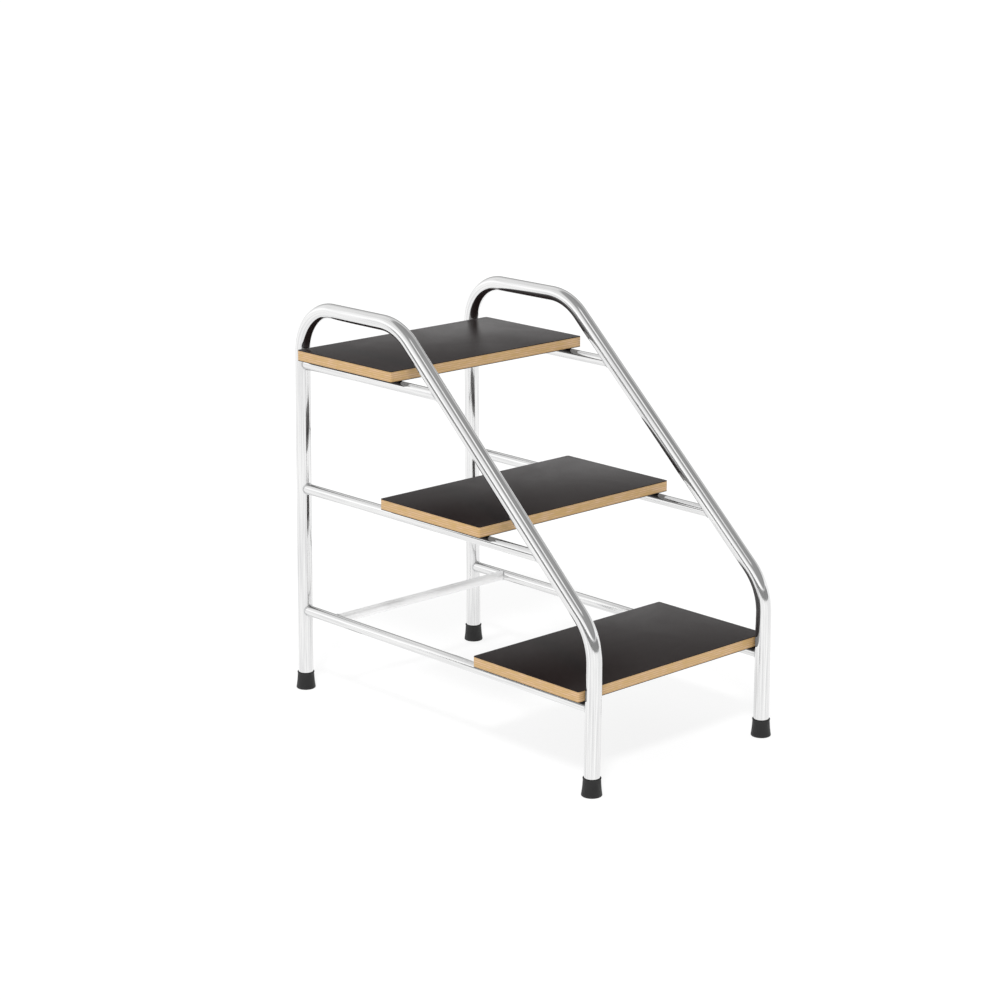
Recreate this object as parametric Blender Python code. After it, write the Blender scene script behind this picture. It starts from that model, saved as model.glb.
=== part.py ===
"""Three-tread step stool: two bent tube side frames, six rails, a cross tube and laminated boards.

Frame: +X is the climber's right, +Y points to the back of the stool, +Z is up. The origin is on
the floor, midway between the two side frames and midway between the front and the rear legs.
All sizes are in metres.
"""

import math

import bmesh
import bpy
from mathutils import Matrix, Vector

# Clearance between pieces that touch, and how finely round shapes are faceted.
GAP = 0.0003
TUBE_SEGMENTS = 20
BEND_STEPS = 7
SMALL_SEGMENTS = 10

# Overall layout.
LEG_SPACING = 0.678  # front leg axis to rear leg axis
FOOT_SPACING = 0.385  # left leg axis to right leg axis, measured on the floor
LEAN = 0.0092  # each side frame leans in by this much for each metre of height
FIRST_TREAD_HEIGHT = 0.165
RISE = 0.210
GRAB_HEIGHT = 0.069  # axis of the grab bow above the top tread
GRAB_RUN = 0.238  # rear leg axis to the corner where the handrail starts down
KNEE_ABOVE_TREAD = 0.083  # corner of handrail and front leg, above the first tread

# Main tube of a side frame.
TUBE_DIAMETER = 0.025
TUBE_WALL = 0.0015
REAR_BEND_RADIUS = 0.077
BOW_BEND_RADIUS = 0.098
KNEE_BEND_RADIUS = 0.096

# Rails under the treads, and the tube that ties the two side frames together.
RAIL_DIAMETER = 0.018
RAIL_WALL = 0.0015
CROSS_TUBE_DIAMETER = 0.016
CROSS_TUBE_WALL = 0.0015
CROSS_TUBE_INSET = 0.080  # its axis, in front of the rear leg axis

# Treads: a plywood core between two sheets of laminate.
TREAD_WIDTH = 0.420
TREAD_DEPTH = 0.231
TREAD_THICKNESS = 0.018
LAMINATE_THICKNESS = 0.0012
TREAD_CORNER_RADIUS = 0.003
MIDDLE_TREAD_SHIFT = 0.0065  # centre of the middle tread, behind the middle of the stool
LEG_CLEARANCE = 0.0005  # between a tread's edge and the legs that it stops against

# Wood screws, up through the rails into the treads. The head sits inside the rail, under its top
# wall, and goes in through an access hole in the bottom wall.
SCREW_DIAMETER = 0.004
SCREW_HEAD_DIAMETER = 0.008
SCREW_HEAD_HEIGHT = 0.0026
SCREW_BITE = 0.0125  # depth that the screw reaches into the tread
SCREW_INSET = 0.035  # screw axis from the tread's front and rear edges
ACCESS_CLEARANCE = 0.0005  # between the screw head and the access hole

# Rubber feet, each with a steel disc under the end of the tube.
FOOT_HEIGHT = 0.029
FOOT_SOLE = 0.006
FOOT_RIM_WALL = 0.0014
FOOT_BASE_WALL = 0.0037
FOOT_EDGE_RADIUS = 0.0015
FOOT_RECESS_DEPTH = 0.001
DISC_THICKNESS = 0.0015

# Values that follow from the sizes above.
TUBE_RADIUS = TUBE_DIAMETER / 2
RAIL_RADIUS = RAIL_DIAMETER / 2
CROSS_TUBE_RADIUS = CROSS_TUBE_DIAMETER / 2
REAR_LEG_Y = LEG_SPACING / 2
FRONT_LEG_Y = -LEG_SPACING / 2
TOP_TREAD_HEIGHT = FIRST_TREAD_HEIGHT + 2 * RISE
BOW_HEIGHT = TOP_TREAD_HEIGHT + GRAB_HEIGHT
KNEE_HEIGHT = FIRST_TREAD_HEIGHT + KNEE_ABOVE_TREAD
HANDRAIL_START_Y = REAR_LEG_Y - GRAB_RUN
HANDRAIL_SLOPE = (BOW_HEIGHT - KNEE_HEIGHT) / (HANDRAIL_START_Y - FRONT_LEG_Y)
TUBE_END_HEIGHT = FOOT_SOLE + GAP + DISC_THICKNESS + GAP
REAR_BEND_START = BOW_HEIGHT - REAR_BEND_RADIUS


def bend_reach(height):
    """How far the rear bend's inner side has come forward from the rear leg at this height.

    The bend is faceted, so its inner side stands forward of the true arc by up to one sagitta.
    """
    above = max(0.0, height - REAR_BEND_START)
    inner_radius = (REAR_BEND_RADIUS - TUBE_RADIUS) * math.cos(math.pi / 4 / BEND_STEPS)
    return REAR_BEND_RADIUS - TUBE_RADIUS - math.sqrt(inner_radius**2 - above**2)


LOWER_TREAD_FRONT = FRONT_LEG_Y + TUBE_RADIUS + LEG_CLEARANCE
UPPER_TREAD_REAR = REAR_LEG_Y - TUBE_RADIUS - LEG_CLEARANCE - bend_reach(TOP_TREAD_HEIGHT)

SIDES = {"left": -1, "right": 1}
TREADS = {
    "lower": {"top": FIRST_TREAD_HEIGHT, "middle": LOWER_TREAD_FRONT + TREAD_DEPTH / 2},
    "middle": {"top": FIRST_TREAD_HEIGHT + RISE, "middle": MIDDLE_TREAD_SHIFT},
    "upper": {"top": TOP_TREAD_HEIGHT, "middle": UPPER_TREAD_REAR - TREAD_DEPTH / 2},
}


def rail_height(tread):
    """Height of the axis of the rails that carry this tread."""
    return TREADS[tread]["top"] - TREAD_THICKNESS - GAP - RAIL_RADIUS


def frame_x(side, height):
    """Place of a side frame's plane at this height."""
    return SIDES[side] * (FOOT_SPACING / 2 - LEAN * height)


def lean(bm, side):
    """Move a piece from the plane X = 0 to its side frame, keeping level faces level."""
    sign = SIDES[side]
    shear = Matrix.Identity(4)
    shear[0][2] = -sign * LEAN
    shear[0][3] = sign * FOOT_SPACING / 2
    bmesh.ops.transform(bm, matrix=shear, verts=bm.verts)


def clear_scene():
    for old in list(bpy.data.objects):
        bpy.data.objects.remove(old, do_unlink=True)


def finish(name, colour, roughness, metallic=0.0):
    """A plain Principled material."""
    material = bpy.data.materials.new(name)
    material.use_nodes = True
    shader = material.node_tree.nodes["Principled BSDF"]
    shader.inputs["Base Color"].default_value = (*colour, 1.0)
    shader.inputs["Roughness"].default_value = roughness
    shader.inputs["Metallic"].default_value = metallic
    return material


def add_object(name, bm, material=None):
    """Make the bmesh an object of its own. A piece with no material is a cutter."""
    bmesh.ops.recalc_face_normals(bm, faces=bm.faces)
    mesh = bpy.data.meshes.new(name)
    bm.to_mesh(mesh)
    bm.free()
    piece = bpy.data.objects.new(name, mesh)
    bpy.context.scene.collection.objects.link(piece)
    if material is None:
        piece.hide_render = True
        piece.display_type = "WIRE"
    else:
        mesh.materials.append(material)
        mesh.shade_smooth()
        mesh.set_sharp_from_angle(angle=math.radians(40))
    return piece


def cut(piece, cutter):
    """Subtract the cutter from the piece."""
    boolean = piece.modifiers.new("cut " + cutter.name, "BOOLEAN")
    boolean.operation = "DIFFERENCE"
    boolean.solver = "EXACT"
    boolean.object = cutter


def give_wall(piece, thickness):
    """Turn an open skin into a tube with this wall, inside the skin."""
    wall = piece.modifiers.new("wall", "SOLIDIFY")
    wall.thickness = thickness
    wall.offset = -1.0
    wall.use_even_offset = True
    wall.use_rim = True


def open_edges(bm):
    return [edge for edge in bm.edges if edge.is_boundary]


def close_ends(bm):
    bmesh.ops.holes_fill(bm, edges=open_edges(bm), sides=0)


def straight_skin(start, end, radius, segments=TUBE_SEGMENTS):
    """Open cylinder skin from start to end."""
    start = Vector(start)
    run = Vector(end) - start
    turn = Vector((0, 0, 1)).rotation_difference(run).to_matrix().to_4x4()
    bm = bmesh.new()
    bmesh.ops.create_circle(
        bm, cap_ends=False, radius=radius, segments=segments, matrix=Matrix.Translation(start) @ turn
    )
    pulled = bmesh.ops.extrude_edge_only(bm, edges=list(bm.edges))["geom"]
    far_ring = [item for item in pulled if isinstance(item, bmesh.types.BMVert)]
    bmesh.ops.translate(bm, vec=run, verts=far_ring)
    return bm


def rod(start, end, radius, segments=TUBE_SEGMENTS):
    """Solid cylinder from start to end."""
    bm = straight_skin(start, end, radius, segments)
    close_ends(bm)
    return bm


def bent_skin(start, corners, end, radius):
    """Open skin of a tube bent in the plane X = 0.

    start and end are (y, z). Each corner is (y, z, bend radius), and every bend turns the same
    way, from the rear leg forwards and down to the front leg.
    """
    bm = bmesh.new()
    place = Matrix.Translation((0, start[0], start[1]))
    bmesh.ops.create_circle(
        bm, cap_ends=False, radius=radius, segments=TUBE_SEGMENTS, matrix=place
    )
    ring = list(bm.edges)
    here = Vector((0, *start))
    stops = [Vector((0, y, z)) for y, z, _ in corners] + [Vector((0, *end))]

    def pull_to(target):
        pulled = bmesh.ops.extrude_edge_only(bm, edges=ring)["geom"]
        verts = [item for item in pulled if isinstance(item, bmesh.types.BMVert)]
        bmesh.ops.translate(bm, vec=target - here, verts=verts)
        return [item for item in pulled if isinstance(item, bmesh.types.BMEdge)]

    for (_, _, bend_radius), corner, following in zip(corners, stops, stops[1:]):
        heading = (corner - here).normalized()
        next_heading = (following - corner).normalized()
        angle = heading.angle(next_heading)
        setback = bend_radius * math.tan(angle / 2)
        bend_start = corner - heading * setback
        ring = pull_to(bend_start)
        inward = Matrix.Rotation(math.pi / 2, 3, "X") @ heading
        spun = bmesh.ops.spin(
            bm,
            geom=ring,
            cent=bend_start + inward * bend_radius,
            axis=(1, 0, 0),
            angle=angle,
            steps=BEND_STEPS,
        )["geom_last"]
        ring = [item for item in spun if isinstance(item, bmesh.types.BMEdge)]
        here = corner + next_heading * setback
    pull_to(stops[-1])
    return bm


def turned(outline, segments=TUBE_SEGMENTS):
    """Solid of revolution about Z from a closed outline of (radius, height) points."""
    bm = bmesh.new()
    verts = [bm.verts.new((radius, 0, height)) for radius, height in outline]
    edges = [bm.edges.new(pair) for pair in zip(verts, verts[1:])]
    bmesh.ops.spin(
        bm, geom=verts + edges, cent=(0, 0, 0), axis=(0, 0, 1), angle=2 * math.pi,
        steps=segments, use_merge=True,
    )
    bmesh.ops.remove_doubles(bm, verts=bm.verts, dist=1e-6)
    return bm


def arc(centre, radius, first, last, steps):
    """Points of an arc, with its angles in degrees."""
    angles = [math.radians(first + (last - first) * i / steps) for i in range(steps + 1)]
    return [
        (centre[0] + radius * math.cos(a), centre[1] + radius * math.sin(a)) for a in angles
    ]


def side_path():
    """Axis of a side frame's tube as (start, corners, end)."""
    corners = [
        (REAR_LEG_Y, BOW_HEIGHT, REAR_BEND_RADIUS),
        (HANDRAIL_START_Y, BOW_HEIGHT, BOW_BEND_RADIUS),
        (FRONT_LEG_Y, KNEE_HEIGHT, KNEE_BEND_RADIUS),
    ]
    return (REAR_LEG_Y, TUBE_END_HEIGHT), corners, (FRONT_LEG_Y, TUBE_END_HEIGHT)


def add_side_tube(side, material):
    bm = bent_skin(*side_path(), TUBE_RADIUS)
    lean(bm, side)
    give_wall(add_object(f"{side}_side_tube", bm, material), TUBE_WALL)


def add_side_clearance(side):
    """Cutter that copes the rail ends to the side tube."""
    bm = bent_skin(*side_path(), TUBE_RADIUS + GAP)
    close_ends(bm)
    lean(bm, side)
    return add_object(f"{side}_cope_cutter", bm)


def rail_front(height):
    """Where a rail at this height meets the axis of the handrail or of the front leg."""
    if height <= KNEE_HEIGHT:
        return FRONT_LEG_Y
    return FRONT_LEG_Y + (height - KNEE_HEIGHT) / HANDRAIL_SLOPE


def add_rail(side, tread, material, cutters):
    height = rail_height(tread)
    bm = straight_skin((0, rail_front(height), height), (0, REAR_LEG_Y, height), RAIL_RADIUS)
    lean(bm, side)
    rail = add_object(f"{side}_{tread}_rail", bm, material)
    give_wall(rail, RAIL_WALL)
    for cutter in cutters:
        cut(rail, cutter)


def add_cross_tube(material):
    """Tube between the two lower rails, coped to both."""
    height = rail_height("lower")
    y = REAR_LEG_Y - CROSS_TUBE_INSET
    ends = [(frame_x(side, height), y, height) for side in SIDES]
    tube = add_object("cross_tube", straight_skin(*ends, CROSS_TUBE_RADIUS), material)
    give_wall(tube, CROSS_TUBE_WALL)
    for side in SIDES:
        x = frame_x(side, height)
        front = (x, y - 2 * CROSS_TUBE_DIAMETER, height)
        rear = (x, y + 2 * CROSS_TUBE_DIAMETER, height)
        cut(tube, add_object(f"{side}_cross_cutter", rod(front, rear, RAIL_RADIUS + GAP)))


def screw_places(tread):
    """(side, row, x, y) of the four screws of a tread."""
    reach = TREAD_DEPTH / 2 - SCREW_INSET
    middle = TREADS[tread]["middle"]
    return [
        (side, row, frame_x(side, rail_height(tread)), middle + sign * reach)
        for side in SIDES
        for row, sign in (("front", -1), ("rear", 1))
    ]


def screw_tip_height(tread):
    return TREADS[tread]["top"] - TREAD_THICKNESS + SCREW_BITE


def screw_seat_height(tread):
    """Height at which the rim of a screw's head meets the curved inside of the rail's top wall."""
    bore = RAIL_RADIUS - RAIL_WALL
    head = SCREW_HEAD_DIAMETER / 2
    return rail_height(tread) + math.sqrt(bore**2 - head**2) - GAP


def add_drill(name, tread, low, high, radius):
    """Cutter with a round drill at each of a tread's four screws."""
    bm = bmesh.new()
    turn = Matrix.Rotation(math.pi / SMALL_SEGMENTS, 4, "Z")  # a flat, not an edge, on the rail's middle
    for _, _, x, y in screw_places(tread):
        place = Matrix.Translation((x, y, (low + high) / 2)) @ turn
        bmesh.ops.create_cone(
            bm, cap_ends=True, segments=SMALL_SEGMENTS, radius1=radius, radius2=radius,
            depth=high - low, matrix=place,
        )
    return add_object(f"{tread}_{name}", bm)


def add_screw_cutter(tread):
    """Clearance holes, through the top wall of both rails and up into the tread."""
    high = screw_tip_height(tread) + GAP
    return add_drill("screw_cutter", tread, rail_height(tread), high, SCREW_DIAMETER / 2 + GAP)


def add_access_cutter(tread):
    """Holes in the bottom wall of both rails that let the screw heads in."""
    middle = rail_height(tread)
    radius = SCREW_HEAD_DIAMETER / 2 + ACCESS_CLEARANCE
    return add_drill("access_cutter", tread, middle - RAIL_DIAMETER, middle, radius)


def add_screws(tread, material):
    """Pan head wood screws, head down."""
    seat = screw_seat_height(tread)
    tip = screw_tip_height(tread)
    shank = SCREW_DIAMETER / 2
    head = SCREW_HEAD_DIAMETER / 2
    crown = SCREW_HEAD_HEIGHT / 2
    outline = [(0, seat - SCREW_HEAD_HEIGHT), (head * 0.6, seat - SCREW_HEAD_HEIGHT)]
    outline += [(head, seat - crown), (head, seat), (shank, seat)]
    outline += [(shank, tip - SCREW_DIAMETER), (0, tip)]
    for side, row, x, y in screw_places(tread):
        bm = turned(outline, SMALL_SEGMENTS)
        bmesh.ops.translate(bm, vec=(x, y, 0), verts=bm.verts)
        add_object(f"{tread}_{row}_{side}_screw", bm, material)


def add_board(name, tread, low, thickness, material, cutter=None):
    """One level layer of a tread, with rounded corners."""
    bm = bmesh.new()
    size = Matrix.Diagonal((TREAD_WIDTH, TREAD_DEPTH, thickness, 1))
    place = Matrix.Translation((0, TREADS[tread]["middle"], low + thickness / 2))
    bmesh.ops.create_cube(bm, size=1.0, matrix=place @ size)
    uprights = [e for e in bm.edges if abs(e.verts[0].co.z - e.verts[1].co.z) > thickness / 2]
    bmesh.ops.bevel(
        bm, geom=uprights, offset=TREAD_CORNER_RADIUS, offset_type="OFFSET", segments=5,
        profile=0.5, affect="EDGES", material=-1,
    )
    board = add_object(name, bm, material)
    if cutter:
        cut(board, cutter)


def add_tread(tread, ply, laminate, cutter):
    """Laminate, plywood core and laminate, from the bottom up."""
    top = TREADS[tread]["top"]
    bottom = top - TREAD_THICKNESS
    core_low = bottom + LAMINATE_THICKNESS + GAP
    core = TREAD_THICKNESS - 2 * (LAMINATE_THICKNESS + GAP)
    add_board(f"{tread}_tread_underside", tread, bottom, LAMINATE_THICKNESS, laminate, cutter)
    add_board(f"{tread}_tread_core", tread, core_low, core, ply, cutter)
    surface_low = top - LAMINATE_THICKNESS
    add_board(f"{tread}_tread_surface", tread, surface_low, LAMINATE_THICKNESS, laminate)


def foot_outline():
    """Flared ferrule with a blind socket and a ring recess in its sole."""
    socket = TUBE_RADIUS + GAP
    base = TUBE_RADIUS + FOOT_BASE_WALL
    rim = TUBE_RADIUS + GAP + FOOT_RIM_WALL
    recess_inner = base * 0.35
    recess_outer = base * 0.65
    outline = [(0, 0), (recess_inner, 0), (recess_inner, FOOT_RECESS_DEPTH)]
    outline += [(recess_outer, FOOT_RECESS_DEPTH), (recess_outer, 0)]
    lower_edge = (base - FOOT_EDGE_RADIUS, FOOT_EDGE_RADIUS)
    outline += arc(lower_edge, FOOT_EDGE_RADIUS, -90, 0, 3)
    outline += [(rim, FOOT_HEIGHT - FOOT_RIM_WALL / 2)]
    outline += [(rim - FOOT_RIM_WALL / 2, FOOT_HEIGHT), (socket, FOOT_HEIGHT)]
    outline += [(socket, FOOT_SOLE), (0, FOOT_SOLE)]
    return outline


def add_foot(side, end, y, rubber, steel):
    bm = turned(foot_outline())
    bmesh.ops.translate(bm, vec=(0, y, 0), verts=bm.verts)
    lean(bm, side)
    add_object(f"{end}_{side}_foot", bm, rubber)
    low = FOOT_SOLE + GAP
    disc = rod((0, y, low), (0, y, low + DISC_THICKNESS), TUBE_RADIUS - GAP)
    lean(disc, side)
    add_object(f"{end}_{side}_foot_disc", disc, steel)


def main():
    clear_scene()
    plated = finish("plated_steel", (0.80, 0.81, 0.82), 0.15, 1.0)
    zinc = finish("zinc_screw", (0.62, 0.62, 0.60), 0.35, 1.0)
    ply = finish("varnished_plywood", (0.50, 0.30, 0.14), 0.45)
    laminate = finish("dark_laminate", (0.012, 0.011, 0.010), 0.40)
    rubber = finish("black_rubber", (0.010, 0.010, 0.011), 0.65)

    holes = {tread: add_screw_cutter(tread) for tread in TREADS}
    access = {tread: add_access_cutter(tread) for tread in TREADS}
    for side in SIDES:
        add_side_tube(side, plated)
        cope = add_side_clearance(side)
        for tread in TREADS:
            add_rail(side, tread, plated, [cope, holes[tread], access[tread]])
        for end, y in (("front", FRONT_LEG_Y), ("rear", REAR_LEG_Y)):
            add_foot(side, end, y, rubber, zinc)
    add_cross_tube(plated)
    for tread in TREADS:
        add_tread(tread, ply, laminate, holes[tread])
        add_screws(tread, zinc)


main()
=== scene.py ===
# %% [markdown]
# # A three-tread step stool, from its frame to its finish
#
# The stool has two bent side tubes, six rails under the treads and one cross tube, all of bright plated
# steel. Three laminated plywood treads are screwed down on the rails, and four rubber feet take the legs.
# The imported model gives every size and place. This lesson replaces its coarse solids with smooth ones, adds
# the welds, screw recesses and softened edges that a maker would see, and gives each surface its finish.
# Everything is in metres: +X is the climber's right, +Y the back of the stool and +Z is up.

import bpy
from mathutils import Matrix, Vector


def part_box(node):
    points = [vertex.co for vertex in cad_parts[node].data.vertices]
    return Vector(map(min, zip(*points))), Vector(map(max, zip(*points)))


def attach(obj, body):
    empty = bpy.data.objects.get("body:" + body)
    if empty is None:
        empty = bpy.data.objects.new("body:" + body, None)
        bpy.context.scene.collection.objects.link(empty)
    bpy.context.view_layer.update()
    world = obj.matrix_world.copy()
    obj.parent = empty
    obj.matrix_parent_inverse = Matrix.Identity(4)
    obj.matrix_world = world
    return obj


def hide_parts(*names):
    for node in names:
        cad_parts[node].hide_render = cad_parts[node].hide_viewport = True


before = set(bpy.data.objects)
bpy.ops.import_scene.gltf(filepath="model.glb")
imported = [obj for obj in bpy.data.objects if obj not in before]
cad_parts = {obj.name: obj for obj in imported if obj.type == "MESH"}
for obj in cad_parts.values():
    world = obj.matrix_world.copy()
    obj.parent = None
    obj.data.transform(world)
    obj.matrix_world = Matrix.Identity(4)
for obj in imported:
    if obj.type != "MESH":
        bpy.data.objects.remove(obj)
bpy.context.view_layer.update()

import math

import bmesh
import bpy
from mathutils import Matrix, Vector

# %% [markdown]
# ## Camera
#
# A long lens keeps upright tubes nearly parallel, as in a catalogue picture. The camera stands to the front
# and left of the stool and looks down on it a little. Its place is kept apart from the way it is turned, and
# the turn is an azimuth, an elevation and a roll, so that each can be changed without disturbing the others.

# %% Camera
CAMERA_PLACE = (-2.7972, -2.8942, 1.4329)
CAMERA_AZIMUTH = -43.365
CAMERA_ELEVATION = 14.948
CAMERA_ROLL = 0.158
CAMERA_LENS = 93.13  # millimetres, as the sensor's width is
SENSOR_WIDTH = 36


def new_object(name, data):
    """An object in the scene, made from its mesh, light or camera."""
    made = bpy.data.objects.new(name, data)
    bpy.context.scene.collection.objects.link(made)
    return made


def camera_turn(azimuth, elevation, roll):
    """Rotation of a camera that looks along +Y at azimuth 0, and down by the elevation."""
    heading = Matrix.Rotation(math.radians(azimuth), 4, "Z")
    upright = Matrix.Rotation(math.radians(90 - elevation), 4, "X")
    return heading @ upright @ Matrix.Rotation(math.radians(roll), 4, "Z")


camera = new_object("camera", bpy.data.cameras.new("camera"))
camera.matrix_world = Matrix.Translation(CAMERA_PLACE) @ camera_turn(
    CAMERA_AZIMUTH, CAMERA_ELEVATION, CAMERA_ROLL
)
camera.data.lens = CAMERA_LENS
camera.data.sensor_width = SENSOR_WIDTH
bpy.context.scene.camera = camera
print("camera at", [round(value, 3) for value in camera.location])

# %% [markdown]
# ## Small helpers for shader nodes
#
# A material is a tree of nodes. A few helpers keep each material short: they add a node and set its inputs,
# make a node group with named sockets that several materials can share, and place that group in a material.

# %% Node helpers
def grey(level):
    return (level, level, level, 1.0)


def set_inputs(tree, node, inputs):
    """Set a node's inputs. Each may be a value, or the output socket that feeds it."""
    for name, value in inputs.items():
        if isinstance(value, bpy.types.NodeSocket):
            tree.links.new(value, node.inputs[name])
        else:
            node.inputs[name].default_value = value


def add_node(tree, kind, inputs=None, **settings):
    """Add a shader node, with its settings and its inputs."""
    node = tree.nodes.new("ShaderNode" + kind)
    for name, value in settings.items():
        setattr(node, name, value)
    set_inputs(tree, node, inputs or {})
    return node


def new_group(name, inputs, outputs):
    """An empty node group. inputs gives (name, socket type, default), and outputs (name, socket type)."""
    tree = bpy.data.node_groups.new(name, "ShaderNodeTree")
    for label, kind, value in inputs:
        socket = tree.interface.new_socket(label, in_out="INPUT", socket_type="NodeSocket" + kind)
        if value is not None:
            socket.default_value = value
    for label, kind in outputs:
        tree.interface.new_socket(label, in_out="OUTPUT", socket_type="NodeSocket" + kind)
    return tree, tree.nodes.new("NodeGroupInput"), tree.nodes.new("NodeGroupOutput")


def use_group(tree, group, inputs):
    """Place a node group in a material, with this material's own values."""
    return add_node(tree, "Group", inputs, node_tree=group)


def new_material(name, **shader_values):
    """A material with its Principled shader's plain values set on the shader itself."""
    material = bpy.data.materials.new(name)
    material.use_nodes = True
    shader = material.node_tree.nodes["Principled BSDF"]
    for label, value in shader_values.items():
        shader.inputs[label.replace("_", " ")].default_value = value
    return material, material.node_tree, shader


print("node helpers ready")

# %% [markdown]
# ## Shared surface effects
#
# Three effects turn up on more than one finish. Fine texture is the small even grain that moulding and
# pressing leave. Handling marks are broad, faint patches where hands, shoes and cloths have been, and they
# change how dull a surface is more than its colour. Long lines are what drawing leaves on a tube and what
# growth leaves in wood: noise that is stretched a long way in one direction.

# %% Fine texture
texture_group, texture_in, texture_out = new_group(
    "Fine texture",
    [("Vector", "Vector", None), ("Scale", "Float", 1500.0), ("Softness", "Float", 0.5)],
    [("Height", "Float")],
)
texture_noise = add_node(
    texture_group, "TexNoise",
    {"Vector": texture_in.outputs["Vector"], "Scale": texture_in.outputs["Scale"], "Detail": 3.0,
     "Roughness": texture_in.outputs["Softness"]},
)
texture_group.links.new(texture_noise.outputs["Fac"], texture_out.inputs["Height"])
print("fine texture:", len(texture_group.nodes), "nodes")

# %% Handling marks
marks_group, marks_in, marks_out = new_group(
    "Handling marks",
    [("Vector", "Vector", None), ("Scale", "Float", 12.0), ("Low", "Float", 0.3), ("High", "Float", 0.5)],
    [("Value", "Float"), ("Mask", "Float")],
)
marks_noise = add_node(
    marks_group, "TexNoise",
    {"Vector": marks_in.outputs["Vector"], "Scale": marks_in.outputs["Scale"], "Detail": 5.0,
     "Roughness": 0.6, "Distortion": 0.8},
)
marks_range = add_node(
    marks_group, "MapRange",
    {"Value": marks_noise.outputs["Fac"], "From Min": 0.35, "From Max": 0.65,
     "To Min": marks_in.outputs["Low"], "To Max": marks_in.outputs["High"]},
)
set_inputs(
    marks_group, marks_out,
    {"Value": marks_range.outputs["Result"], "Mask": marks_noise.outputs["Fac"]},
)
print("handling marks:", len(marks_group.nodes), "nodes")

# %% Long lines
lines_group, lines_in, lines_out = new_group(
    "Long lines",
    [("Vector", "Vector", None), ("Across", "Float", 900.0), ("Stretch", "Vector", (1.0, 1.0, 0.01))],
    [("Height", "Float")],
)
lines_stretch = add_node(
    lines_group, "VectorMath",
    {0: lines_in.outputs["Vector"], 1: lines_in.outputs["Stretch"]}, operation="MULTIPLY",
)
lines_noise = add_node(
    lines_group, "TexNoise",
    {"Vector": lines_stretch.outputs["Vector"], "Scale": lines_in.outputs["Across"], "Detail": 4.0,
     "Roughness": 0.6},
)
lines_group.links.new(lines_noise.outputs["Fac"], lines_out.inputs["Height"])
print("groups:", [group.name for group in bpy.data.node_groups])

# %% [markdown]
# ## Bright plated steel
#
# Nickel and chrome plating over drawn tube is a mirror with a memory: it keeps the faint lengthwise lines of
# drawing and polishing, and a slight ripple. The lines have to follow the tube round its bends, so each
# tube's mesh carries a place for every point, measured along and across the tube as if it were straight.
# The cross tube has the same lines under a duller finish.

# %% Steel for the tubes
steel, steel_tree, steel_shader = new_material(
    "bright_steel", Base_Color=grey(0.75), Metallic=1.0, Roughness=0.16
)
steel_place = add_node(steel_tree, "Attribute", attribute_name="tube_place")
steel_lines = use_group(
    steel_tree, lines_group,
    {"Vector": steel_place.outputs["Vector"], "Across": 330.0, "Stretch": (1.0, 1.0, 0.02)},
)
steel_streaks = add_node(
    steel_tree, "MapRange",
    {"Value": steel_lines.outputs["Height"], "From Min": 0.33, "From Max": 0.67},
)
steel_colour = add_node(
    steel_tree, "MixRGB",
    {"Fac": steel_streaks.outputs["Result"], "Color1": (0.68, 0.68, 0.685, 1.0),
     "Color2": (0.90, 0.90, 0.895, 1.0)},
)
steel_ripple = add_node(
    steel_tree, "TexNoise", {"Vector": steel_place.outputs["Vector"], "Scale": 35.0, "Detail": 1.0}
)
steel_marks = use_group(
    steel_tree, marks_group,
    {"Vector": steel_place.outputs["Vector"], "Scale": 30.0, "Low": 0.07, "High": 0.14},
)
steel_bump = add_node(
    steel_tree, "Bump",
    {"Height": steel_lines.outputs["Height"], "Strength": 0.35, "Distance": 0.00002},
)
steel_wave = add_node(
    steel_tree, "Bump",
    {"Height": steel_ripple.outputs["Fac"], "Strength": 0.5, "Distance": 0.0002,
     "Normal": steel_bump.outputs["Normal"]},
)
set_inputs(
    steel_tree, steel_shader,
    {"Base Color": steel_colour.outputs["Color"], "Roughness": steel_marks.outputs["Value"],
     "Normal": steel_wave.outputs["Normal"]},
)
print("bright steel:", len(steel_tree.nodes), "nodes")

# %% Duller steel for the cross tube
dull_steel = steel.copy()
dull_steel.name = "dull_steel"
dull_tree = dull_steel.node_tree
dull_marks = next(node for node in dull_tree.nodes if "Low" in node.inputs)
set_inputs(dull_tree, dull_marks, {"Low": 0.34, "High": 0.42})
dull_mix = next(node for node in dull_tree.nodes if node.bl_idname == "ShaderNodeMixRGB")
set_inputs(dull_tree, dull_mix, {"Color1": grey(0.86), "Color2": grey(0.98)})
set_inputs(dull_tree, dull_tree.nodes["Principled BSDF"], {"Metallic": 0.3})
print("duller steel:", len(dull_tree.nodes), "nodes")

# %% Steel for the welds
weld_steel, weld_tree, weld_shader = new_material(
    "weld_steel", Base_Color=(0.66, 0.665, 0.67, 1.0), Metallic=1.0, Roughness=0.3
)
weld_place = add_node(weld_tree, "TexCoord")
weld_texture = use_group(
    weld_tree, texture_group,
    {"Vector": weld_place.outputs["Object"], "Scale": 900.0, "Softness": 0.6},
)
weld_marks = use_group(
    weld_tree, marks_group,
    {"Vector": weld_place.outputs["Object"], "Scale": 300.0, "Low": 0.22, "High": 0.42},
)
weld_bump = add_node(
    weld_tree, "Bump",
    {"Height": weld_texture.outputs["Height"], "Strength": 0.6, "Distance": 0.0001},
)
set_inputs(
    weld_tree, weld_shader,
    {"Roughness": weld_marks.outputs["Value"], "Normal": weld_bump.outputs["Normal"]},
)
print("weld steel:", len(weld_tree.nodes), "nodes")

# %% [markdown]
# ## Dark laminate
#
# High-pressure laminate is printed paper under clear resin, pressed against a textured plate. It is almost
# black with a warm cast, and satin rather than glossy: a fine even grain breaks up what it reflects. Shoes
# and cloths leave faint patches that are a little more or less dull.

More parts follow.
